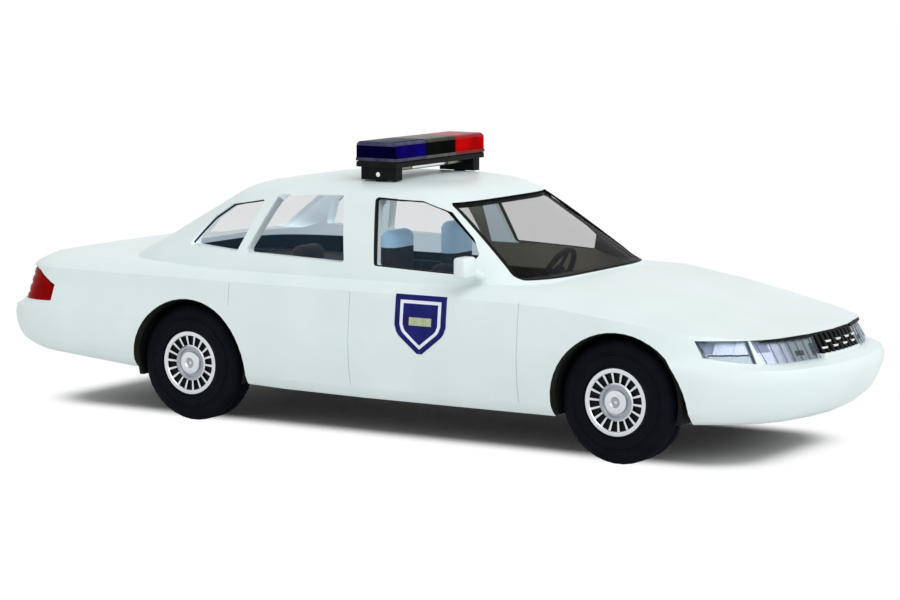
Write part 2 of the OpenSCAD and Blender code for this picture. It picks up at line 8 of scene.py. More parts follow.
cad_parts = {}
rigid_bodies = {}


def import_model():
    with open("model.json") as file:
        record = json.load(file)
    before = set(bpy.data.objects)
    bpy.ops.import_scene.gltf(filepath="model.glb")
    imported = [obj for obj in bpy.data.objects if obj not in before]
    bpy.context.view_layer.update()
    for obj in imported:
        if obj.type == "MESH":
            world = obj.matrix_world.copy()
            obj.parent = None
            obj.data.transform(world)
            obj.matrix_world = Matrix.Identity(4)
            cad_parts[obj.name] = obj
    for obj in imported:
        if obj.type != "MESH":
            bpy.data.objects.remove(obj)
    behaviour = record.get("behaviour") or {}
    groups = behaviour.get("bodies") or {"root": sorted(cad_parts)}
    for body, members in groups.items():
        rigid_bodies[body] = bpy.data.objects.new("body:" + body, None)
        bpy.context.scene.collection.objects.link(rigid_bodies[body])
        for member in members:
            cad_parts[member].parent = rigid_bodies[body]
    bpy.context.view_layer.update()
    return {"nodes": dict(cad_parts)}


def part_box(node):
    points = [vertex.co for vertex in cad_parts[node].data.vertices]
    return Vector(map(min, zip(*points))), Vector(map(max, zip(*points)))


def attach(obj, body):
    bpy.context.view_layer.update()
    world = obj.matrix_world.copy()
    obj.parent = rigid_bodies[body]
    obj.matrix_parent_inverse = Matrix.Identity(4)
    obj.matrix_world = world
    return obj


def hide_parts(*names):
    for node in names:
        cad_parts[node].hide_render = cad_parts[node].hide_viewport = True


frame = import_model()

# Body shell: one white polystyrene moulding with bumpers, wheel arches and window openings.
# The mould leaves a faint flow pattern, a soft gloss and the engraved door lines. The front
# window reveals and the arches' edges are painted black as painted shade. Inside the cabin the
# shell is painted black as painted shade above the front door cards and low at the back, tan on
# the front door cards and the rear of the B-pillars, and pale blue-white with a painted glow elsewhere.
MM = 0.001
FINE = 0.0001 * MM
nodes = frame["nodes"]


def deselect():
    if bpy.context.mode != "OBJECT":
        bpy.ops.object.mode_set(mode="OBJECT")
    bpy.ops.object.select_all(action="DESELECT")


def work_on(piece):
    deselect()
    piece.select_set(True)
    bpy.context.view_layer.objects.active = piece


def edit(piece, mode="FACE"):
    work_on(piece)
    bpy.ops.object.mode_set(mode="EDIT")
    bpy.ops.mesh.select_mode(type=mode)
    bpy.ops.mesh.select_all(action="DESELECT")


def pick_faces(piece, wanted):
    edit(piece)
    bpy.ops.object.mode_set(mode="OBJECT")
    for face in piece.data.polygons:
        face.select = wanted(face)
    bpy.ops.object.mode_set(mode="EDIT")


def copy_of(node, name):
    """Object with a copy of a CAD node's mesh, its doubled points merged."""
    piece = bpy.data.objects.new(name, nodes[node].data.copy())
    bpy.context.scene.collection.objects.link(piece)
    piece.data.name = name
    piece.data.materials.clear()
    edit(piece)
    bpy.ops.mesh.select_all(action="SELECT")
    bpy.ops.mesh.remove_doubles(threshold=0.0002 * MM)
    bpy.ops.mesh.customdata_custom_splitnormals_clear()
    bpy.ops.object.mode_set(mode="OBJECT")
    return piece


def smooth(piece, degrees=30):
    work_on(piece)
    bpy.ops.object.shade_smooth_by_angle(angle=math.radians(degrees))


def fasten(piece, body, slot, *stands_for):
    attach(piece, body)
    if stands_for:
        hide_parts(*stands_for)


def near_box(face, mesh, low, high):
    points = [mesh.vertices[v].co for v in face.vertices]
    return all(
        max(p[i] for p in points) >= low[i] and min(p[i] for p in points) <= high[i] for i in range(3)
    )


def inside(point, low, high):
    return all(low[i] <= point[i] <= high[i] for i in range(3))


def engrave(piece, place, across, low, high, facing, width=0.07, depth=0.06, least=0.35):
    """Groove in the skin along the plane at place, within the box from low to high, all in mm."""
    place, across, facing = Vector(place) * MM, Vector(across).normalized(), Vector(facing)
    low, high = Vector(low) * MM, Vector(high) * MM
    along = max(range(3), key=lambda i: (high - low)[i] * (1 - abs(across[i])) * (1 - abs(facing[i])))

    def skin(face):
        return face.normal.dot(facing) > least and near_box(face, piece.data, low, high)

    for shift in (-width / 2, width / 2):
        pick_faces(piece, skin)
        bpy.ops.mesh.bisect(plane_co=place + across * shift * MM, plane_no=across, threshold=FINE)
    for corner in (low, high):
        pick_faces(piece, skin)
        bpy.ops.mesh.bisect(plane_co=corner, plane_no=[float(i == along) for i in range(3)], threshold=FINE)
    pick_faces(
        piece,
        lambda f: f.normal.dot(facing) > least
        and inside(f.center, low, high)
        and abs((f.center - place).dot(across)) < width / 2 * MM,
    )
    bpy.ops.mesh.extrude_region_shrink_fatten(TRANSFORM_OT_shrink_fatten={"value": -depth * MM})
    bpy.ops.object.mode_set(mode="OBJECT")


def moulded(name, dark, light, roughness, patch=4.0, grain=0.12, relief=0.03, shine=0.5):
    """Plastic whose colour and gloss drift over patches, with a fine grain; sizes in mm."""
    gloss_drift, grain_height = 0.15, 0.02
    material = bpy.data.materials.new(name)
    material.use_nodes = True
    tree = material.node_tree
    shader = tree.nodes["Principled BSDF"]
    shader.inputs["Specular IOR Level"].default_value = shine
    coords = tree.nodes.new("ShaderNodeTexCoord")
    flow = tree.nodes.new("ShaderNodeTexNoise")
    flow.inputs["Scale"].default_value = 1 / (patch * MM)
    flow.inputs["Detail"].default_value = 4
    tone = tree.nodes.new("ShaderNodeValToRGB")
    tone.color_ramp.elements[0].position = 0.3
    tone.color_ramp.elements[0].color = (*dark, 1)
    tone.color_ramp.elements[1].position = 0.7
    tone.color_ramp.elements[1].color = (*light, 1)
    gloss = tree.nodes.new("ShaderNodeMapRange")
    gloss.inputs["To Min"].default_value = roughness * (1 - gloss_drift)
    gloss.inputs["To Max"].default_value = roughness * (1 + gloss_drift)
    fine = tree.nodes.new("ShaderNodeTexNoise")
    fine.inputs["Scale"].default_value = 1 / (grain * MM)
    bump = tree.nodes.new("ShaderNodeBump")
    bump.inputs["Strength"].default_value = relief
    bump.inputs["Distance"].default_value = grain_height * MM
    link = tree.links.new
    link(coords.outputs["Object"], flow.inputs["Vector"])
    link(coords.outputs["Object"], fine.inputs["Vector"])
    link(flow.outputs["Fac"], tone.inputs["Fac"])
    link(flow.outputs["Fac"], gloss.inputs["Value"])
    link(tone.outputs["Color"], shader.inputs["Base Color"])
    link(gloss.outputs["Result"], shader.inputs["Roughness"])
    link(fine.outputs["Fac"], bump.inputs["Height"])
    link(bump.outputs["Normal"], shader.inputs["Normal"])
    return material


cabin_core = (-10 * MM, 3 * MM, 11 * MM)


def outward(face):
    core_x, core_end, core_z = cabin_core
    core = Vector((min(max(face.center.x, core_x), core_end), 0, core_z))
    return face.normal.dot((face.center - core).normalized())


white_plastic = moulded("white_plastic", (0.70, 0.80, 0.795), (0.75, 0.84, 0.84), 0.36, shine=0.35)
glowing_lining = moulded("glowing_lining", (0.78, 0.88, 0.93), (0.84, 0.92, 0.96), 0.6, patch=2, shine=0.2)
shade_black_paint = moulded("shade_black_paint", (0.012, 0.013, 0.010), (0.026, 0.027, 0.022), 0.6, patch=1.5, shine=0.1)
card_brown = moulded("card_brown", (0.66, 0.61, 0.46), (0.80, 0.74, 0.56), 0.6, patch=2, shine=0.1)
# The lining's emission is a painted glow, painted light inside the cabin.
lining_painted_glow = glowing_lining.node_tree.nodes["Principled BSDF"]
lining_painted_glow.inputs["Emission Color"].default_value = (0.75, 0.90, 1.0, 1)
lining_painted_glow.inputs["Emission Strength"].default_value = 0.45
lining_foot, reveal_foot, header_x, dark_end, square = 8.5, 10.3, -2.2, -1, 0.004
reveal_side, reveal_turn, screen_back, screen_side = 6.5, 0.75, 3.3, 9
bench_end, bench_top, bench_side, card_top = -9.6, 11.2, 10.35, 11.5
pillar_back, pillar_middle, pillar_front, pillar_top = -3.4, -1.7, 0.6, 15
glass_lean, line_reach = Vector((0, 0.905, 0.425)), 13.24
arch_middles, arch_half, arch_head, arch_square = (19.2, -14.2), 5.5, 8.5, 0.02
inward = -0.2
# EDGE is black painted shade; LINING is pale blue-white with a painted glow.
SKIN, LINING, EDGE, CARD = range(4)


def painted(face):
    """Paint slot of a face of the shell: black painted shade on reveals, arch edges and shaded cabin walls,
    tan door cards, the glowing pale lining, or plain skin.
    """
    x, y, z = face.center / MM
    level, across = abs(face.normal.x), abs(face.normal.y)
    # Front window reveals: black painted shade, on the side reveals only on their outer part.
    if z > reveal_foot and x > dark_end:
        side_reveal = across < square and abs(y) > reveal_side and abs(outward(face)) < reveal_turn
        screen_reveal = level < square and x > screen_back and abs(y) < screen_side
        if side_reveal and x < pillar_front:
            return EDGE if glass_lean.dot((0, abs(y), z)) > line_reach else SKIN
        if side_reveal or screen_reveal:
            return EDGE
    # Arch edges: black painted shade.
    if across < arch_square and z < arch_head and min(abs(x - arch) for arch in arch_middles) < arch_half:
        return EDGE
    # Inside of the cabin: black painted shade where shade falls, tan door cards and the glowing pale
    # lining.
    if outward(face) < inward and z > lining_foot:
        if x > header_x and z < card_top:
            return CARD
        if pillar_back < x < pillar_front and card_top < z < pillar_top:
            return CARD if x < pillar_middle else LINING
        if x > header_x:
            return EDGE
        return EDGE if z < (bench_top if x < bench_end else bench_side) else LINING
    return SKIN


body = copy_of("body_shell", "white_body_shell")
door_lines = ((12.1, 3.6, 10.0), (-0.85, 3.6, 9.9), (-10.7, 8.4, 9.9))
skin_inner, skin_outer, seam_reach = 9.4, 12, 1
for side in (-1, 1):
    facing = (0, side, 0)
    for seam_x, foot_z, head_z in door_lines:
        low_y, high_y = sorted((side * skin_inner, side * skin_outer))
        low, high = (seam_x - seam_reach, low_y, foot_z), (seam_x + seam_reach, high_y, head_z)
        engrave(body, (seam_x, 0, 0), (1, 0, 0), low, high, facing)
cut_xs = (bench_end, pillar_back, header_x, pillar_middle, pillar_front)
across_cuts = [((x, 0, 0), (1, 0, 0)) for x in cut_xs]
level_cuts = [((0, 0, z), (0, 0, 1)) for z in (bench_side, bench_top, card_top, pillar_top)]
for plane_point, plane_way in across_cuts + level_cuts:
    pick_faces(body, lambda f: outward(f) < inward and f.center.z > lining_foot * MM)
    bpy.ops.mesh.bisect(plane_co=Vector(plane_point) * MM, plane_no=plane_way, threshold=FINE)
    bpy.ops.object.mode_set(mode="OBJECT")
for side in (-1, 1):
    lean = Vector((0, side * glass_lean.y, glass_lean.z))
    pick_faces(body, lambda f: abs(f.normal.y) < square and f.center.y * side > reveal_side * MM
               and dark_end < f.center.x / MM < pillar_front and f.center.z > reveal_foot * MM)
    line_point = lean.normalized() * line_reach / lean.length * MM
    bpy.ops.mesh.bisect(plane_co=line_point, plane_no=lean, threshold=FINE)
    bpy.ops.object.mode_set(mode="OBJECT")
smooth(body, 32)
for paint in (white_plastic, glowing_lining, shade_black_paint, card_brown):
    body.data.materials.append(paint)
for face in body.data.polygons:
    face.material_index = painted(face)
fasten(body, "car", "white_shell", "body_shell")


# Window insert: one clear polystyrene moulding pushed up into the shell, with a raised pane for
# each opening. The panes are glossy and slightly cool. The front side panes' edges, the windscreen's
# border and the upper edges of the panes at the back are painted black, painted shade for the dark
# edges that thick clear plastic shows.
def thicken(piece, depth, rim_slot=0):
    """Gives a sheet its thickness inwards, in mm, and its rim a material slot of its own."""
    work_on(piece)
    wall = piece.modifiers.new("wall", "SOLIDIFY")
    wall.thickness = depth * MM
    wall.offset = -1
    wall.use_even_offset = True
    wall.material_offset_rim = rim_slot
    bpy.ops.object.modifier_apply(modifier=wall.name)


def clear(name, dark, light, haze):
    """See-through moulding; haze is the share of light that each of its two faces holds back."""
    material = moulded(name, dark, light, 0.08, relief=0.0, shine=0.05)
    material.node_tree.nodes["Principled BSDF"].inputs["Alpha"].default_value = haze
    return material


pane_clear = clear("pane_clear", (0.05, 0.10, 0.16), (0.07, 0.13, 0.20), 0.08)
screen_clear = clear("screen_clear", (0.006, 0.006, 0.010), (0.010, 0.010, 0.014), 0.24)
black_plastic = moulded(
    "black_plastic", (0.004, 0.005, 0.005), (0.010, 0.011, 0.011), 0.5, patch=2, shine=0.06
)
pane_depth, border_width = 0.16, 0.22
screen_foot, screen_top, screen_foot_half, screen_lean = 11.4, 15.7, 8.05, 2.2
seed_foot, seed_turn, screen_turn = 12.2 * MM, 0.4, 0.3
ray_start, ray_reach = 0.01 * MM, 1.2 * MM
quarter_front, quarter_lean, upper_turn = -11.2, -0.55, 0.05

panes = copy_of("window_insert", "clear_window_panes")
skin_tree = BVHTree.FromPolygons(
    [v.co for v in body.data.vertices], [f.vertices for f in body.data.polygons]
)


def under_shell(face):
    start = face.center + face.normal * ray_start
    return skin_tree.ray_cast(start, face.normal, ray_reach)[0] is not None


pick_faces(panes, lambda f: outward(f) > seed_turn and f.center.z > seed_foot and not under_shell(f))
bpy.ops.mesh.faces_select_linked_flat(sharpness=math.radians(20))
bpy.ops.mesh.select_all(action="INVERT")
bpy.ops.mesh.delete(type="FACE")
PANE, SCREEN, RIM_SHADE = range(3)
# A rim lies RIM_SHADE slots after its pane's own slot, so the windscreen's rim needs the fourth paint.
for paint in (pane_clear, screen_clear, black_plastic, black_plastic):
    panes.data.materials.append(paint)


def windscreen(face):
    x, y, z = face.center / MM
    edge_y = screen_foot_half - (z - screen_foot) / screen_lean
    return x > 0 and abs(face.normal.x) > screen_turn and abs(y) < edge_y + 2 * border_width


screen_edges = [(Vector((0, 0, 1)), Vector((0, 0, screen_top)))]
for side in (-1, 1):
    edge_way = Vector((0, side * screen_lean, 1)).normalized()
    screen_edges.append((edge_way, Vector((0, side * screen_foot_half, screen_foot))))
for lean, edge_point in screen_edges:
    pick_faces(panes, windscreen)
    bpy.ops.mesh.bisect(plane_co=(edge_point - lean * border_width) * MM, plane_no=lean, threshold=FINE)
    bpy.ops.object.mode_set(mode="OBJECT")
# The windscreen's border faces get black, painted shade.
for face in panes.data.polygons:
    if windscreen(face):
        edge = max((face.center / MM - edge_point).dot(lean) for lean, edge_point in screen_edges)
        face.material_index = RIM_SHADE if edge > -border_width else SCREEN
thicken(panes, pane_depth, rim_slot=RIM_SHADE)
smooth(panes, 30)
# Rims stay black painted shade on the front panes and on the upper edges of the panes at the back.
for face in panes.data.polygons:
    x, z = face.center.x / MM, face.center.z / MM
    shade_line = x + quarter_lean * (z - screen_foot) < quarter_front and face.normal.z > upper_turn
    if face.material_index >= RIM_SHADE and x < dark_end and not shade_line:
        face.material_index = PANE
fasten(panes, "car", "clear_glazing", "window_insert")

# Interior tub: dark brown moulding with dashboard, seats and bench, dropped in from below.
# The headrests and the upper part of the driver's backrest are painted pale blue with a faint painted glow.
# The driver's backrest is painted blue further down than the other seat, as painted light where light falls
# on it.
tub_plastic = moulded(
    "tub_plastic", (0.010, 0.009, 0.007), (0.040, 0.030, 0.018), 0.6, patch=2.5, shine=0.2
)
headrest_blue = moulded("headrest_blue", (0.42, 0.70, 0.98), (0.50, 0.78, 1.0), 0.5, patch=1.5, shine=0.2)
# The emission is a painted glow.
headrest_painted_glow = headrest_blue.node_tree.nodes["Principled BSDF"]
headrest_painted_glow.inputs["Emission Color"].default_value = (0.5, 0.75, 1.0, 1)
headrest_painted_glow.inputs["Emission Strength"].default_value = 0.2
headrest_foot, lit_backrest_foot, seat_back, seat_front = 12.3 * MM, 11.2 * MM, -4.5 * MM, 1 * MM
tub = copy_of("interior_tub", "seats_and_dashboard")
edit(tub)
bpy.ops.mesh.select_all(action="SELECT")
bpy.ops.mesh.bisect(plane_co=(0, 0, headrest_foot), plane_no=(0, 0, 1), threshold=FINE)
bpy.ops.object.mode_set(mode="OBJECT")


def driver_seat(face):
    return seat_back < face.center.x < seat_front and face.center.y > 0


pick_faces(tub, driver_seat)
bpy.ops.mesh.bisect(plane_co=(0, 0, lit_backrest_foot), plane_no=(0, 0, 1), threshold=FINE)
bpy.ops.object.mode_set(mode="OBJECT")
smooth(tub, 40)
tub.data.materials.append(tub_plastic)
tub.data.materials.append(headrest_blue)
# The driver's backrest turns blue lower down, as painted light.
for face in tub.data.polygons:
    face.material_index = int(face.center.z > (lit_backrest_foot if driver_seat(face) else headrest_foot))
fasten(tub, "car", "interior", "interior_tub")

# Steering wheel: rim and column in one black plastic moulding.
# The column is pressed into the dashboard on the car's left.
wheel = copy_of("steering_wheel", "steering_rim_and_column")
smooth(wheel, 40)
wheel.data.materials.append(black_plastic)
fasten(wheel, "car", "black_plastic", "steering_wheel")

# Chassis plate: black moulding that clips in from below and carries the axles. The rims of its
# wheel wells reach out to the shell's side walls.
well_face, well_reach, well_turn = 9.95, 0.28, 0.99
chassis = copy_of("chassis_plate", "black_chassis")
pick_faces(chassis, lambda f: abs(f.normal.y) > well_turn and abs(f.center.y) > well_face * MM)
bpy.ops.mesh.extrude_region_shrink_fatten(TRANSFORM_OT_shrink_fatten={"value": well_reach * MM})
bpy.ops.object.mode_set(mode="OBJECT")
smooth(chassis, 30)
chassis.data.materials.append(black_plastic)
fasten(chassis, "car", "black_plastic", "chassis_plate")

# Door mirror: small white moulding glued into the corner of the right door's window.
# A thin plated sheet in its back is the mirror's glass.
mirror = copy_of("door_mirror", "door_mirror_housing")
smooth(mirror, 40)
mirror.data.materials.append(white_plastic)
fasten(mirror, "car", "white_shell", "door_mirror")


def plated(name, colour, roughness, streak=0.6):
    """Bright metal finish whose gloss drifts a little; streak in mm."""
    darker = [c * 0.94 for c in colour]
    material = moulded(name, darker, colour, roughness, patch=streak, relief=0.02)
    material.node_tree.nodes["Principled BSDF"].inputs["Metallic"].default_value = 1
    return material


chrome = plated("chrome", (0.86, 0.87, 0.89), 0.16)


def box_piece(name, low, high, cuts=0, round_by=0.0):
    """Block between two corners in mm, cut into even lengths along Y, with rounded edges."""
    deselect()
    low, high = Vector(low), Vector(high)
    bpy.ops.mesh.primitive_cube_add(size=MM, location=(low + high) / 2 * MM)
    piece = bpy.context.object
    piece.name = piece.data.name = name
    piece.scale = high - low
    bpy.ops.object.transform_apply(location=True, rotation=True, scale=True)
    if round_by:
        edit(piece, "EDGE")
        bpy.ops.mesh.select_all(action="SELECT")
        bpy.ops.mesh.bevel(offset=round_by * MM, segments=2, affect="EDGES")
        bpy.ops.object.mode_set(mode="OBJECT")
    for cut in range(cuts):
        edit(piece)
        bpy.ops.mesh.select_all(action="SELECT")
        place = low.y + (high.y - low.y) * (cut + 1) / (cuts + 1)
        bpy.ops.mesh.bisect(plane_co=(0, place * MM, 0), plane_no=(0, 1, 0), threshold=FINE)
        bpy.ops.object.mode_set(mode="OBJECT")
    return piece


glass_low, glass_high = (7.72, -11.72, 11.62), (7.8, -10.68, 12.58)
mirror_glass = box_piece("door_mirror_glass", glass_low, glass_high, round_by=0.03)
smooth(mirror_glass, 35)
mirror_glass.data.materials.append(chrome)
fasten(mirror_glass, "car", "white_shell")

# Grille insert: black moulding with upright bars, clipped into the nose band. Two rows of short
# plated strips are fixed on its front, over a white sill.
grille = copy_of("grille_insert", "black_grille")
smooth(grille, 30)
grille.data.materials.append(black_plastic)
fasten(grille, "car", "grille", "grille_insert")


def join(name, pieces):
    deselect()
    for piece in pieces:
        piece.select_set(True)
    bpy.context.view_layer.objects.active = pieces[0]
    if len(pieces) > 1:
        bpy.ops.object.join()
    pieces[0].name = pieces[0].data.name = name
    return pieces[0]


nose_bow, nose_half = 3.3, 11.15


def bowed_block(low, high):
    """Block that follows the bow of the nose in plan; corners in mm."""
    block = box_piece("block", low, high, cuts=4, round_by=0.03)
    for point in block.data.vertices:
        point.co.x -= nose_bow * MM * (point.co.y / MM / nose_half) ** 2
    return block


strip_depth, strip_wide, strip_tall = 0.25, 0.3, 0.07
strip_rows = ((7.38, 29.82, (-2.3, -0.9, 0.5, 1.9)), (7.72, 29.64, (-1.6, -0.2, 1.2, 2.4)))
blocks = []
for strip_z, strip_x, middles in strip_rows:
    for middle in middles:
        low = (strip_x - strip_depth, middle - strip_wide, strip_z - strip_tall)
        high = (strip_x, middle + strip_wide, strip_z + strip_tall)
        blocks.append(bowed_block(low, high))
grille_strips = join("grille_bright_strips", blocks)
smooth(grille_strips, 35)
grille_strips.data.materials.append(chrome)
fasten(grille_strips, "car", "hubcap")
sill_low, sill_high = (29.4, -2.78, 6.72), (30.05, 2.78, 7.04)
sill = join("grille_white_sill", [bowed_block(sill_low, sill_high)])
smooth(sill, 35)
sill.data.materials.append(white_plastic)
fasten(sill, "car", "white_shell")


# Front lamps: clear lenses clipped into the nose band over plated reflectors with upright flutes.
# Behind them are grey bulb holders and dark patches. A thin black strip across the corner reflector
# is painted shade, and so is the black strip along the top of the headlamp reflector.
# The headlamp lens is painted white at its outer end, and black along its top as a painted shadow of the
# hood's front edge.
def cut(piece, place, across):
    edit(piece)
    bpy.ops.mesh.select_all(action="SELECT")
    bpy.ops.mesh.bisect(plane_co=Vector(place) * MM, plane_no=across, threshold=FINE)
    bpy.ops.object.mode_set(mode="OBJECT")


def tint(piece, slot, low, high):
    """Gives the part of a sheet between two corners in mm a material slot of its own."""
    low, high = Vector(low), Vector(high)
    for axis in range(3):
        across = [float(i == axis) for i in range(3)]
        spread = [v.co[axis] / MM for v in piece.data.vertices]
        for corner in (low, high):
            if min(spread) < corner[axis] < max(spread):
                cut(piece, corner, across)
    for face in piece.data.polygons:
        if inside(face.center, low * MM, high * MM):
            face.material_index = slot


def front_sheet(node, name, core_x, least=0.55):
    """Outer skin of a lamp node: the faces that look away from a point on the car's middle line."""
    sheet = copy_of(node, name)
    core = Vector((core_x * MM, 0, 0))

    def outer(face):
        away = face.center - core
        away.z = 0
        return face.normal.dot(away.normalized()) > least

    pick_faces(sheet, lambda f: not outer(f))
    bpy.ops.mesh.delete(type="FACE")
    bpy.ops.object.mode_set(mode="OBJECT")
    return sheet


def sink(piece, depth):
    edit(piece)
    bpy.ops.mesh.select_all(action="SELECT")
    bpy.ops.transform.shrink_fatten(value=-depth * MM)
    bpy.ops.object.mode_set(mode="OBJECT")


def flute(piece, axis, low, high, pitch, height):
    """Raises every second strip of a sheet; the strips run across one axis from low to high in mm."""
    count = int((high - low) / pitch)
    across = [float(i == axis) for i in range(3)]
    for number in range(count + 1):
        for side in (-1, 1) if axis == 1 else (1,):
            place = [0.0, 0.0, 0.0]
            place[axis] = side * (low + number * pitch)
            cut(piece, place, across)
    pick_faces(piece, lambda f: int((abs(f.center[axis]) / MM - low) // pitch) % 2 == 0)
    bpy.ops.mesh.extrude_region_shrink_fatten(TRANSFORM_OT_shrink_fatten={"value": height * MM})
    bpy.ops.object.mode_set(mode="OBJECT")


reflector_plate = plated("reflector_plate", (0.34, 0.39, 0.49), 0.4)
reflector_dim = plated("reflector_dim", (0.22, 0.27, 0.30), 0.3, streak=0.25)
holder_grey = moulded("holder_grey", (0.12, 0.17, 0.30), (0.20, 0.26, 0.40), 0.4, patch=0.6)
lens_clear = clear("lens_clear", (0.60, 0.70, 0.80), (0.68, 0.78, 0.88), 0.05)
nose_core = 12
HOLDER, DARK_AND_SHADE, DIM = 1, 2, 3
DIVIDER, HOOD_SHADOW = 1, 2
# The black strip along the headlamp's top and the black strip across the corner lamp are painted shade.
headlamp_patches = (
    (DIM, (26, 2.6, 6.8), (30.2, 5.5, 8.3)), (HOLDER, (26, 6.8, 7.5), (30.2, 7.8, 8.12)),
    (DARK_AND_SHADE, (26, 4.2, 7.1), (30.2, 5.0, 7.4)), (DARK_AND_SHADE, (26, 2.9, 7.0), (30.2, 3.4, 7.7)),
    (DARK_AND_SHADE, (26, 2.6, 8.12), (30.2, 7.4, 8.4)),
)
corner_patches = (
    (DIM, (23.6, 7.6, 6.4), (27.6, 10.4, 7.32)), (HOLDER, (24.1, 7.6, 7.45), (25.15, 10, 8.12)),
    (DARK_AND_SHADE, (24.9, 7.6, 7.32), (27.4, 10, 7.42)),
)
dividers = (((26, -8.4, 6.5), (30, -7.86, 8.5)), ((26, 7.86, 6.5), (30, 8.4, 8.5)))
hood_shadow_band = ((26, -7.4, 8.14), (30.2, 7.4, 8.5))
for node, title, axis, low, high, pitch, patches in (
    ("headlamp_lenses", "headlamp", 1, 2.7, 8.2, 0.36, headlamp_patches),
    ("corner_lenses", "corner_lamp", 0, 23.8, 27.6, 0.4, corner_patches),
):
    reflector = front_sheet(node, title + "_reflectors", nose_core)
    sink(reflector, depth=0.3)
    flute(reflector, axis, low, high, pitch, height=0.06)
    for paint in (reflector_plate, holder_grey, black_plastic, reflector_dim):
        reflector.data.materials.append(paint)
    for slot, patch_low, patch_high in patches:
        for side in (-1, 1):
            low_y, high_y = sorted((side * patch_low[1], side * patch_high[1]))
            near_corner = (patch_low[0], low_y, patch_low[2])
            far_corner = (patch_high[0], high_y, patch_high[2])
            tint(reflector, slot, near_corner, far_corner)
    thicken(reflector, depth=0.08)
    fasten(reflector, "car", "lamp_clear")
    lens = front_sheet(node, title + "_lenses", nose_core)
    for paint in (lens_clear, white_plastic, black_plastic):
        lens.data.materials.append(paint)
    if title == "headlamp":
        for divider in dividers:
            tint(lens, DIVIDER, *divider)
        tint(lens, HOOD_SHADOW, *hood_shadow_band)
    thicken(lens, depth=0.14)
    smooth(lens, 30)
    fasten(lens, "car", "lamp_clear", node)

# Tail lamps: red lenses with level ribs, wrapped round the rear corners over a plated reflector.
# Each is clipped into its recess in the shell.
red_lens = moulded(
    "red_lens", (0.30, 0.001, 0.002), (0.46, 0.002, 0.003), 0.2, patch=1.5, relief=0.02, shine=0.1
)
red_shader = red_lens.node_tree.nodes["Principled BSDF"]
red_shader.inputs["Transmission Weight"].default_value = 0.3
red_shader.inputs["IOR"].default_value = 1.12
tail_core, tail_least = -24, 0.5
tail_reflector = front_sheet("tail_lamps", "tail_lamp_reflectors", tail_core, tail_least)
sink(tail_reflector, depth=0.33)
tail_reflector.data.materials.append(reflector_plate)
thicken(tail_reflector, depth=0.08)
smooth(tail_reflector, 30)
fasten(tail_reflector, "car", "lamp_red")
tail_lens = front_sheet("tail_lamps", "tail_lamp_lenses", tail_core, tail_least)
flute(tail_lens, axis=2, low=7.65, high=10.0, pitch=0.3, height=0.05)
thicken(tail_lens, depth=0.14)
smooth(tail_lens, 30)
tail_lens.data.materials.append(red_lens)
fasten(tail_lens, "car", "lamp_red", "tail_lamps")


# Door badges: thin printed film on each front door, a navy shield with a pale inner line and a
# light green bar across its field.
def flat_sheet(name, middle, facing, wide, tall, steps):
    """Flat grid that looks along facing, standing off the body; sizes in mm."""
    deselect()
    bpy.ops.mesh.primitive_grid_add(x_subdivisions=steps, y_subdivisions=steps, size=MM)
    sheet = bpy.context.object
    sheet.name = sheet.data.name = name
    sheet.scale = (wide, tall, 1)
    sheet.rotation_mode = "QUATERNION"
    sheet.rotation_quaternion = Vector(facing).to_track_quat("Z", "Y")
    sheet.location = Vector(middle) * MM
    bpy.ops.object.transform_apply(location=True, rotation=True, scale=True)
    return sheet


def press(sheet, facing, lift):
    """Lays a flat sheet on the body, straight back along its facing, lift mm above the skin."""
    work_on(sheet)
    wrap = sheet.modifiers.new("wrap", "SHRINKWRAP")
    wrap.target = body
    wrap.wrap_method = "PROJECT"
    wrap.use_negative_direction = True
    wrap.use_positive_direction = True
    axis = max(range(3), key=lambda i: abs(facing[i]))
    wrap.use_project_x, wrap.use_project_y, wrap.use_project_z = (axis == 0, axis == 1, axis == 2)
    wrap.project_limit = 4 * MM
    wrap.offset = lift * MM
    bpy.ops.object.modifier_apply(modifier=wrap.name)


badge_navy = moulded("badge_navy", (0.006, 0.008, 0.10), (0.012, 0.014, 0.16), 0.35, patch=0.8, shine=0.1)
badge_pale = moulded("badge_pale", (0.70, 0.77, 0.84), (0.80, 0.86, 0.90), 0.3, patch=0.8)
badge_green = moulded("badge_green", (0.34, 0.42, 0.22), (0.46, 0.54, 0.30), 0.3, patch=0.4)
badge_x, badge_z, badge_y, badge_half = 4.76, 8.25, 12.5, 2.05
shield_sides = ((0, 1, 0.88), (1, 0, 0.96), (-1, 0, 0.96), (0.94, -0.34, 0.94), (-0.94, -0.34, 0.94),
                (0.80, -0.60, 0.90), (-0.80, -0.60, 0.90), (0.62, -0.78, 0.84), (-0.62, -0.78, 0.84))
bar_sides = ((0, 1, 0.16), (0, -1, 0.1), (1, 0, 0.42), (-1, 0, 0.42))
OUTLINE, PALE, FIELD, BAR = range(4)
badge_rings = ((1.0, OUTLINE, shield_sides), (0.80, PALE, shield_sides), (0.68, FIELD, shield_sides),
               (1.0, BAR, bar_sides))
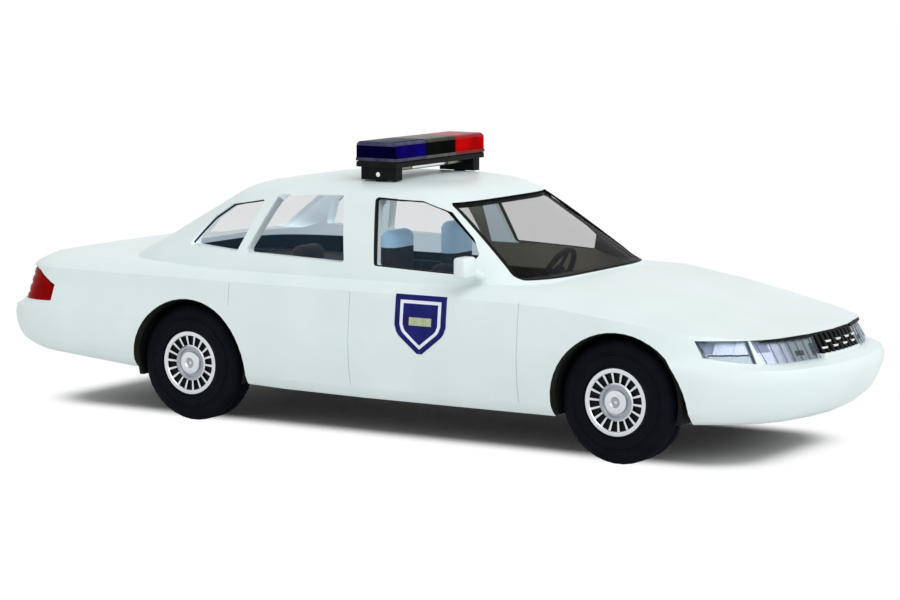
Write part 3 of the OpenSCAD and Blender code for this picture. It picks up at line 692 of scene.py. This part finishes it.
for side in (-1, 1):
    name = "right_door_badge" if side < 0 else "left_door_badge"
    middle = Vector((badge_x, side * badge_y, badge_z))
    badge = flat_sheet(name, middle, (0, side, 0), 2 * badge_half, 2 * badge_half, steps=24)
    middle *= MM
    for paint in (badge_navy, badge_pale, badge_navy, badge_green):
        badge.data.materials.append(paint)
    for size, slot, sides in badge_rings:
        edges = [(Vector((x, 0, z)).normalized(), reach * size * badge_half * MM) for x, z, reach in sides]
        edit(badge)
        for lean, reach in edges:
            bpy.ops.mesh.select_all(action="SELECT")
            bpy.ops.mesh.bisect(
                plane_co=middle + lean * reach, plane_no=lean, clear_outer=slot == OUTLINE, threshold=FINE
            )
        bpy.ops.object.mode_set(mode="OBJECT")
        for face in badge.data.polygons:
            if all((face.center - middle).dot(lean) < reach for lean, reach in edges):
                face.material_index = slot
    press(badge, (0, side, 0), lift=0.03)
    thicken(badge, depth=0.025)
    smooth(badge, 30)
    fasten(badge, "car", "bar_blue")

# Light bar base: black moulding with a tray and two feet that plug into the roof. Plated strips,
# bright in the middle and dull at the ends, are fixed along the brace, and a screw holds each foot.
bar_base = copy_of("light_bar_base", "light_bar_black_base")
smooth(bar_base, 30)
bar_base.data.materials.append(black_plastic)
fasten(bar_base, "car", "bar_black", "light_bar_base")
bar_x, brace_half, foot_face, foot_middle = -2.15, 0.6, 5.5, 17.3
strip_half, strip_gap, strip_end, strip_out = 2.3, 0.1, 4.65, 0.12
strip_foot, strip_head = 17.5, 17.78
screw_radius, screw_depth, screw_rim, screw_step, screw_dish = 0.16, 0.12, 0.05, 0.02, 0.03
strip_ends = (
    (-strip_end, -strip_half - strip_gap), (-strip_half, strip_half), (strip_half + strip_gap, strip_end)
)
bar_strips = []
for low_y, high_y in strip_ends:
    for side in (-1, 1):
        low_x, high_x = sorted((bar_x + side * brace_half, bar_x + side * brace_half + side * strip_out))
        low, high = (low_x, low_y, strip_foot), (high_x, high_y, strip_head)
        bar_strips.append(box_piece("strip", low, high, round_by=0.03))
bar_strip = join("light_bar_bright_strips", bar_strips)
smooth(bar_strip, 35)
bar_strip.data.materials.append(chrome)
bar_strip.data.materials.append(plated("strip_dull", (0.26, 0.27, 0.20), 0.35))
for face in bar_strip.data.polygons:
    face.material_index = int(abs(face.center.y) > (strip_half + strip_gap / 2) * MM)
fasten(bar_strip, "car", "steel")
screws = []
for side in (-1, 1):
    deselect()
    bpy.ops.mesh.primitive_cylinder_add(
        vertices=20, radius=screw_radius * MM, depth=screw_depth * MM, rotation=(math.radians(90), 0, 0),
        location=(bar_x * MM, side * foot_face * MM, foot_middle * MM),
    )
    screw = bpy.context.object
    bpy.ops.object.transform_apply(location=True, rotation=True, scale=True)
    pick_faces(screw, lambda f: f.normal.y * side > 0.9)
    bpy.ops.mesh.inset(thickness=screw_rim * MM)
    bpy.ops.mesh.inset(thickness=screw_step * MM, depth=-screw_dish * MM)
    bpy.ops.object.mode_set(mode="OBJECT")
    screws.append(screw)
foot_screws = join("light_bar_foot_screws", screws)
smooth(foot_screws, 35)
foot_screws.data.materials.append(chrome)
fasten(foot_screws, "car", "steel")

# Light bar lenses: blue and red hollow covers with a thick lip over plated beacons, and a smoked
# black cover between them. They click on to the tray. The blue cover's end and top are painted
# darker as painted shade, and its rounded edges and lip paler as painted highlight.
LENS_SIDE, LENS_END, LENS_EDGE, LENS_LIP, LENS_TOP = range(5)
crest_depth, lip_z, lip_out, skirt_drop, cover_wall = 0.3, 18.42, 0.06, 0.04, 0.2
top_turn, wall_turn, edge_turn, corner_turn, end_turn = 0.9, 0.5, 0.3, 0.35, 0.7


def cover(node, name, paints, slot):
    """Hollow lens; its paints are those of its sides, ends, rounded edges, lip and top."""
    shell = copy_of(node, name)
    crest_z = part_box(node)[1].z / MM - crest_depth
    pick_faces(shell, lambda f: f.normal.z < -top_turn)
    bpy.ops.mesh.delete(type="FACE")
    bpy.ops.object.mode_set(mode="OBJECT")
    edit(shell, "EDGE")
    bpy.ops.mesh.select_all(action="SELECT")
    bpy.ops.mesh.region_to_loop()
    bpy.ops.transform.translate(value=(0, 0, -skirt_drop * MM))
    bpy.ops.object.mode_set(mode="OBJECT")
    cut(shell, (0, 0, lip_z), (0, 0, 1))
    cut(shell, (0, 0, crest_z), (0, 0, 1))
    pick_faces(shell, lambda f: f.center.z < lip_z * MM and abs(f.normal.z) < wall_turn < abs(f.normal.x))
    bpy.ops.mesh.extrude_region_shrink_fatten(TRANSFORM_OT_shrink_fatten={"value": lip_out * MM})
    bpy.ops.object.mode_set(mode="OBJECT")
    thicken(shell, cover_wall)
    smooth(shell, 35)
    for paint in paints:
        shell.data.materials.append(paint)
    for face in shell.data.polygons:
        level, across = abs(face.normal.x), abs(face.normal.y)
        if face.center.z < lip_z * MM:
            face.material_index = LENS_LIP
        elif face.normal.z > top_turn:
            face.material_index = LENS_TOP
        elif face.normal.z > edge_turn or min(level, across) > corner_turn:
            face.material_index = LENS_EDGE
        elif across > end_turn:
            face.material_index = LENS_END if face.center.z < crest_z * MM else LENS_EDGE
    fasten(shell, "car", slot, node)


def coloured_lens(name, dark, light):
    material = moulded(name, dark, light, 0.25, patch=1.2, relief=0.02, shine=0.05)
    shader = material.node_tree.nodes["Principled BSDF"]
    shader.inputs["Transmission Weight"].default_value = 0.3
    shader.inputs["IOR"].default_value = 1.06
    return material


def lens_edge(name, dark, light):
    return moulded(name, dark, light, 0.3, patch=0.8, shine=0.05)


# The blue end and top paint is darker painted shade; the blue edge and lip paints are paler painted
# highlight.
blue_lens = coloured_lens("blue_lens", (0.002, 0.001, 0.06), (0.005, 0.001, 0.20))
blue_shade = coloured_lens("blue_lens_painted_shade", (0.001, 0.001, 0.012), (0.002, 0.001, 0.05))
blue_highlight = lens_edge("blue_lens_painted_highlight", (0.03, 0.03, 0.08), (0.08, 0.08, 0.16))
blue_lip_highlight = lens_edge("blue_lip_painted_highlight", (0.03, 0.03, 0.06), (0.08, 0.08, 0.13))
smoked_lens = moulded(
    "smoked_lens", (0.002, 0.003, 0.003), (0.005, 0.005, 0.004), 0.25, patch=1.2, shine=0.0
)
smoked_edge = lens_edge("smoked_lens_edge", (0.02, 0.02, 0.014), (0.05, 0.05, 0.034))
smoked_lip = lens_edge("smoked_lens_lip", (0.05, 0.055, 0.055), (0.09, 0.095, 0.09))
bright_red_lens = coloured_lens("bright_red_lens", (0.42, 0.001, 0.001), (0.72, 0.002, 0.002))
red_edge = lens_edge("red_lens_edge", (0.24, 0.004, 0.010), (0.36, 0.008, 0.016))
red_lip = lens_edge("red_lens_lip", (0.10, 0.02, 0.02), (0.16, 0.03, 0.03))
cover("light_bar_blue_lens", "light_bar_blue_cover",
      (blue_lens, blue_shade, blue_highlight, blue_lip_highlight, blue_shade), "bar_blue")
cover("light_bar_centre", "light_bar_smoked_cover",
      (smoked_lens, smoked_lens, smoked_edge, smoked_lip, smoked_edge), "bar_black")
cover("light_bar_red_lens", "light_bar_red_cover",
      (bright_red_lens, bright_red_lens, red_edge, red_lip, red_edge), "bar_red")


def turned(name, profile, steps, middle, axis):
    """Ring turned from (radius, height) pairs in mm, its height running from middle along the axis."""
    deselect()
    bpy.ops.mesh.primitive_circle_add(vertices=steps, radius=profile[0][0] * MM)
    piece = bpy.context.object
    piece.name = piece.data.name = name
    edit(piece, "EDGE")
    bpy.ops.mesh.select_all(action="SELECT")
    bpy.ops.transform.translate(value=(0, 0, profile[0][1] * MM))
    for (radius, height), (next_radius, next_height) in zip(profile, profile[1:]):
        rise, share = (next_height - height) * MM, next_radius / radius
        bpy.ops.mesh.extrude_region_move(TRANSFORM_OT_translate={"value": (0, 0, rise)})
        bpy.ops.transform.resize(value=(share, share, 1), center_override=(0, 0, 0))
    bpy.ops.mesh.select_all(action="SELECT")
    bpy.ops.mesh.remove_doubles(threshold=0.001 * MM)
    bpy.ops.mesh.fill_holes(sides=0)
    bpy.ops.mesh.select_all(action="SELECT")
    bpy.ops.mesh.normals_make_consistent(inside=False)
    bpy.ops.object.mode_set(mode="OBJECT")
    piece.rotation_mode = "QUATERNION"
    piece.rotation_quaternion = Vector(axis).to_track_quat("Z", "X")
    piece.location = Vector(middle) * MM
    bpy.ops.object.transform_apply(location=True, rotation=True, scale=True)
    return piece


beacon_foot = 18.22
beacon_profile = ((0.02, 1.0), (0.30, 0.95), (0.52, 0.75), (0.58, 0.45), (0.58, 0.0), (0.02, 0.0))
for title, slot, places in (("blue", "bar_blue", (-4.6, -2.9)), ("red", "bar_red", (2.9, 4.6))):
    beacons = join("light_bar_" + title + "_beacons", [
        turned("beacon", beacon_profile, 28, (bar_x, place, beacon_foot), (0, 0, 1)) for place in places
    ])
    smooth(beacons, 40)
    beacons.data.materials.append(chrome)
    fasten(beacons, "car", slot)

# Axles: plain steel pins, cut from drawn rod, that turn in the bores of the chassis.
# The wheels are pressed on their ends.
steel = plated("steel", (0.52, 0.53, 0.55), 0.3)
for end in ("front", "rear"):
    pin = copy_of(end + "_axle", end + "_steel_axle")
    smooth(pin, 30)
    pin.data.materials.append(steel)
    fasten(pin, end + "_wheelset", "steel", end + "_axle")

# Tyres: soft black plastic rings pushed on the axle ends, with one groove round the tread and
# another round the outer wall.
tyre_black = moulded(
    "tyre_black", (0.002, 0.003, 0.006), (0.005, 0.006, 0.010), 0.62, patch=1.5, relief=0.08, shine=0.05
)
tyre_profile = (
    (2.35, -0.5), (2.35, -0.02), (2.55, 0), (3.0, -0.02), (3.06, -0.09), (3.22, -0.09), (3.28, -0.02),
    (3.65, -0.04), (3.92, -0.22), (4.05, -0.5), (4.05, -0.95), (3.93, -1.0), (3.93, -1.3), (4.05, -1.35),
    (4.05, -1.8), (3.92, -2.08), (3.6, -2.3), (0.52, -2.3), (0.52, -0.5), (2.35, -0.5),
)
wheels = [(end, hand) for end in ("front", "rear") for hand in ("left", "right")]
for end, hand in wheels:
    low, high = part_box(end + "_" + hand + "_tyre")
    way = 1 if hand == "left" else -1
    middle = (low + high) / 2 / MM
    face_y = (high.y if way > 0 else low.y) / MM
    place = (middle.x, face_y, middle.z)
    tyre = turned(end + "_" + hand + "_rubber_tyre", tyre_profile, 38, place, (0, way, 0))
    smooth(tyre, 40)
    tyre.data.materials.append(tyre_black)
    fasten(tyre, end + "_wheelset", "tyre", end + "_" + hand + "_tyre")

# Hubcaps: plated plastic discs with a bright rim, eighteen slots and a raised middle.
# Each is pressed into its tyre. The slot floors and a ring round the outer edge are painted black as
# painted shade, and the recessed rings are painted dull as painted shade.
cap_bright = plated("cap_bright", (0.71, 0.74, 0.78), 0.22, streak=0.4)
cap_painted_shade = plated("cap_painted_shade", (0.36, 0.38, 0.42), 0.3, streak=0.3)
slot_painted_shade = moulded("slot_painted_shade", (0.003, 0.005, 0.005), (0.008, 0.010, 0.010), 0.5, patch=0.5, shine=0.1)
cap_profile = (
    (2.28, -0.45), (2.3, -0.1), (2.2, -0.1), (2.18, 0.03), (2.1, 0.06), (1.92, 0.05), (1.88, 0.0),
    (1.24, -0.08), (1.16, -0.02), (1.0, -0.02), (0.94, -0.18), (0.8, -0.18), (0.76, 0.0), (0.62, 0.06),
    (0.36, 0.07), (0.3, -0.02), (0.1, -0.04),
)
cap_steps, slot_depth, slot_inner, slot_outer, shadow_gap_radius = 72, 0.16, 1.25, 1.87, 2.19
slot_turn = math.tau / cap_steps
recess_shade_rings = ((0.8, 0.94), (0.1, 0.3), (1.0, 1.16))
BRIGHT, SLOT_SHADE, RECESS_SHADE = range(3)
for end, hand in wheels:
    node = end + "_" + hand + "_hubcap"
    low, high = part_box(node)
    tyre_low, tyre_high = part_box(end + "_" + hand + "_tyre")
    way = 1 if hand == "left" else -1
    middle = (low + high) / 2 / MM
    face_y = (tyre_high.y if way > 0 else tyre_low.y) / MM
    place = (middle.x, face_y, middle.z)
    cap = turned(end + "_" + hand + "_plated_hubcap", cap_profile, cap_steps, place, (0, way, 0))

    def slotted(face):
        x, z = face.center.x / MM - middle.x, face.center.z / MM - middle.z
        turn = int((math.atan2(z, x) % math.tau) / slot_turn + 0.01)
        ring = slot_inner < math.hypot(x, z) < slot_outer
        return ring and turn % 4 < 3 and face.normal.y * way > 0.3

    pick_faces(cap, slotted)
    bpy.ops.mesh.extrude_region_shrink_fatten(TRANSFORM_OT_shrink_fatten={"value": -slot_depth * MM})
    bpy.ops.mesh.select_more()
    bpy.ops.object.mode_set(mode="OBJECT")
    for paint in (cap_bright, slot_painted_shade, cap_painted_shade):
        cap.data.materials.append(paint)
    # Slot floors and the outer edge ring get black painted shade; recessed rings get dull painted shade.
    for face in cap.data.polygons:
        away = math.hypot(face.center.x / MM - middle.x, face.center.z / MM - middle.z)
        dull = any(inner < away < outer for inner, outer in recess_shade_rings)
        dark = face.select or away > shadow_gap_radius
        face.material_index = SLOT_SHADE if dark else RECESS_SHADE if dull else BRIGHT
    smooth(cap, 35)
    fasten(cap, end + "_wheelset", "hubcap", node)

# Light and camera: a pale floor that runs out of sight, an even white sky and one broad lamp above
# the right of the nose. To the camera the floor turns plain white outside the car's own shadow.
floor_white = bpy.data.materials.new("floor_white")
floor_white.use_nodes = True
floor_shader = floor_white.node_tree.nodes["Principled BSDF"]
floor_shader.inputs["Base Color"].default_value = (0.97, 0.97, 0.97, 1)
floor_shader.inputs["Roughness"].default_value = 0.9
floor_shader.inputs["Specular IOR Level"].default_value = 0
floor_tree = floor_white.node_tree
floor_coords = floor_tree.nodes.new("ShaderNodeTexCoord")
shade_middle, shade_core = (-1.2 * MM, -0.3 * MM, 0), (24 * MM, 4 * MM, 1)
shade_start, shade_end = 2.3 * MM, 5.8 * MM
steps = []
for operation, value in (
    ("SUBTRACT", shade_middle), ("ABSOLUTE", None), ("SUBTRACT", shade_core),
    ("MAXIMUM", (0, 0, 0)), ("LENGTH", None),
):
    step = floor_tree.nodes.new("ShaderNodeVectorMath")
    step.operation = operation
    if value:
        step.inputs[1].default_value = value
    source = steps[-1].outputs["Vector"] if steps else floor_coords.outputs["Object"]
    floor_tree.links.new(source, step.inputs[0])
    steps.append(step)
fade = floor_tree.nodes.new("ShaderNodeMapRange")
fade.interpolation_type = "SMOOTHSTEP"
fade.inputs["From Min"].default_value = shade_start
fade.inputs["From Max"].default_value = shade_end
view_ray = floor_tree.nodes.new("ShaderNodeLightPath")
white_share = floor_tree.nodes.new("ShaderNodeMath")
white_share.operation = "MULTIPLY"
paper = floor_tree.nodes.new("ShaderNodeEmission")
blend = floor_tree.nodes.new("ShaderNodeMixShader")
floor_tree.links.new(steps[-1].outputs["Value"], fade.inputs["Value"])
floor_tree.links.new(fade.outputs["Result"], white_share.inputs[0])
floor_tree.links.new(view_ray.outputs["Is Camera Ray"], white_share.inputs[1])
floor_tree.links.new(white_share.outputs["Value"], blend.inputs["Fac"])
floor_tree.links.new(floor_shader.outputs["BSDF"], blend.inputs[1])
floor_tree.links.new(paper.outputs["Emission"], blend.inputs[2])
floor_tree.links.new(blend.outputs["Shader"], floor_tree.nodes["Material Output"].inputs["Surface"])
deselect()
bpy.ops.mesh.primitive_plane_add(size=8)
floor = bpy.context.object
floor.name = "floor"
floor.data.materials.append(floor_white)

sky = bpy.data.worlds.new("studio")
bpy.context.scene.world = sky
sky.use_nodes = True
sky_tree = sky.node_tree
sky_light = sky_tree.nodes["Background"]
sky_light.inputs["Color"].default_value = (1, 1, 1, 1)
ray = sky_tree.nodes.new("ShaderNodeLightPath")
seen = sky_tree.nodes.new("ShaderNodeMath")
seen.operation = "MAXIMUM"
seen_through = sky_tree.nodes.new("ShaderNodeMath")
seen_through.operation = "MAXIMUM"
level = sky_tree.nodes.new("ShaderNodeMapRange")
level.inputs["To Min"].default_value = 0.6
level.inputs["To Max"].default_value = 1.0
sky_tree.links.new(ray.outputs["Is Camera Ray"], seen.inputs[0])
sky_tree.links.new(ray.outputs["Is Glossy Ray"], seen.inputs[1])
sky_tree.links.new(seen.outputs["Value"], seen_through.inputs[0])
sky_tree.links.new(ray.outputs["Is Transmission Ray"], seen_through.inputs[1])
sky_tree.links.new(seen_through.outputs["Value"], level.inputs["Value"])
sky_tree.links.new(level.outputs["Result"], sky_light.inputs["Strength"])

lamp = bpy.data.objects.new("broad_lamp", bpy.data.lights.new("broad_lamp", "SUN"))
bpy.context.scene.collection.objects.link(lamp)
lamp.data.energy = 1.68
lamp.data.angle = math.radians(60)
lamp.rotation_mode = "QUATERNION"
lamp.rotation_quaternion = Vector((-0.9, 0.38, -0.95)).to_track_quat("-Z", "Y")

azimuth, elevation = math.radians(31.45), math.radians(7.11)
aim, stand_off = Vector((0.18, 0, 8.27)), 208.4
back = Vector(
    (math.sin(azimuth) * math.cos(elevation), -math.cos(azimuth) * math.cos(elevation), math.sin(elevation))
)
camera = bpy.data.objects.new("camera", bpy.data.cameras.new("camera"))
bpy.context.scene.collection.objects.link(camera)
camera.data.sensor_width = 36
camera.data.lens = 120
camera.data.clip_start = 0.001
camera.location = aim * MM + back * stand_off * MM
camera.rotation_mode = "QUATERNION"
camera.rotation_quaternion = (-back).to_track_quat("-Z", "Y")
bpy.context.scene.camera = camera
bpy.context.scene.view_settings.view_transform = "Standard"
